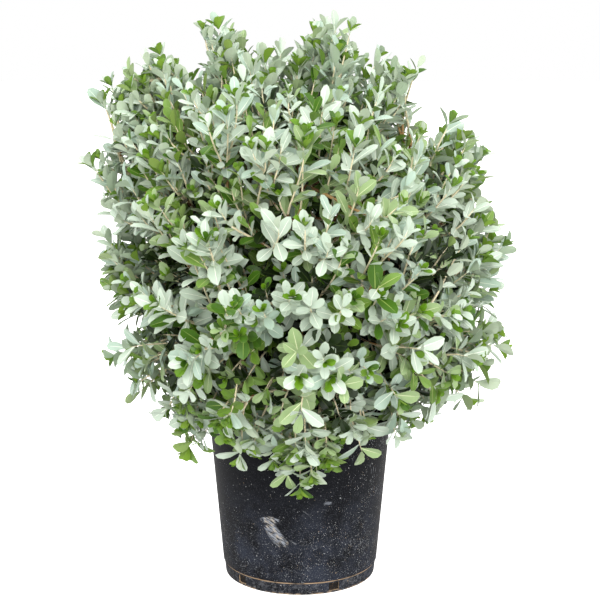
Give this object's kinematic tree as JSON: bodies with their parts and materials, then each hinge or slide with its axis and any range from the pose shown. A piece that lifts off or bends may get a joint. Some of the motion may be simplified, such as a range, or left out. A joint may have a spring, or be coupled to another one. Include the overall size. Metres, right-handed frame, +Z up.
{
  "type": "potted silver buttonwood shrub",
  "caption": "dense round evergreen shrub with silvery green leaves on ascending boughs, rooted in a flared black nursery pot that stands on its flat underside",
  "frame": {"origin": "the middle of the pot's flat underside, where it stands on the ground", "axes": "+Z is up along the pot's axis, -Y is the side that the picture shows, +X is the picture's right"},
  "size_m": [0.9977, 0.9583, 1.3401],
  "materials": {
    "pot": "satin",
    "soil": "matte",
    "bark": "matte",
    "leaf": "matte"
  },
  "bodies": {
    "root": {"pot": "pot", "soil": "soil", "trunk": "bark", "bough_skirt_1": "bark", "bough_skirt_2": "bark", "bough_skirt_3": "bark", "bough_skirt_4": "bark", "bough_skirt_5": "bark", "bough_waist_1": "bark", "bough_waist_2": "bark", "bough_waist_3": "bark", "bough_waist_4": "bark", "bough_waist_5": "bark", "bough_shoulder_1": "bark", "bough_shoulder_2": "bark", "bough_shoulder_3": "bark", "bough_shoulder_4": "bark", "bough_top_1": "bark", "bough_top_2": "bark", "foliage_skirt_1": "leaf", "foliage_skirt_2": "leaf", "foliage_skirt_3": "leaf", "foliage_skirt_4": "leaf", "foliage_skirt_5": "leaf", "foliage_waist_1": "leaf", "foliage_waist_2": "leaf", "foliage_waist_3": "leaf", "foliage_waist_4": "leaf", "foliage_waist_5": "leaf", "foliage_shoulder_1": "leaf", "foliage_shoulder_2": "leaf", "foliage_shoulder_3": "leaf", "foliage_shoulder_4": "leaf", "foliage_top_1": "leaf", "foliage_top_2": "leaf"}
  },
  "joints": []
}
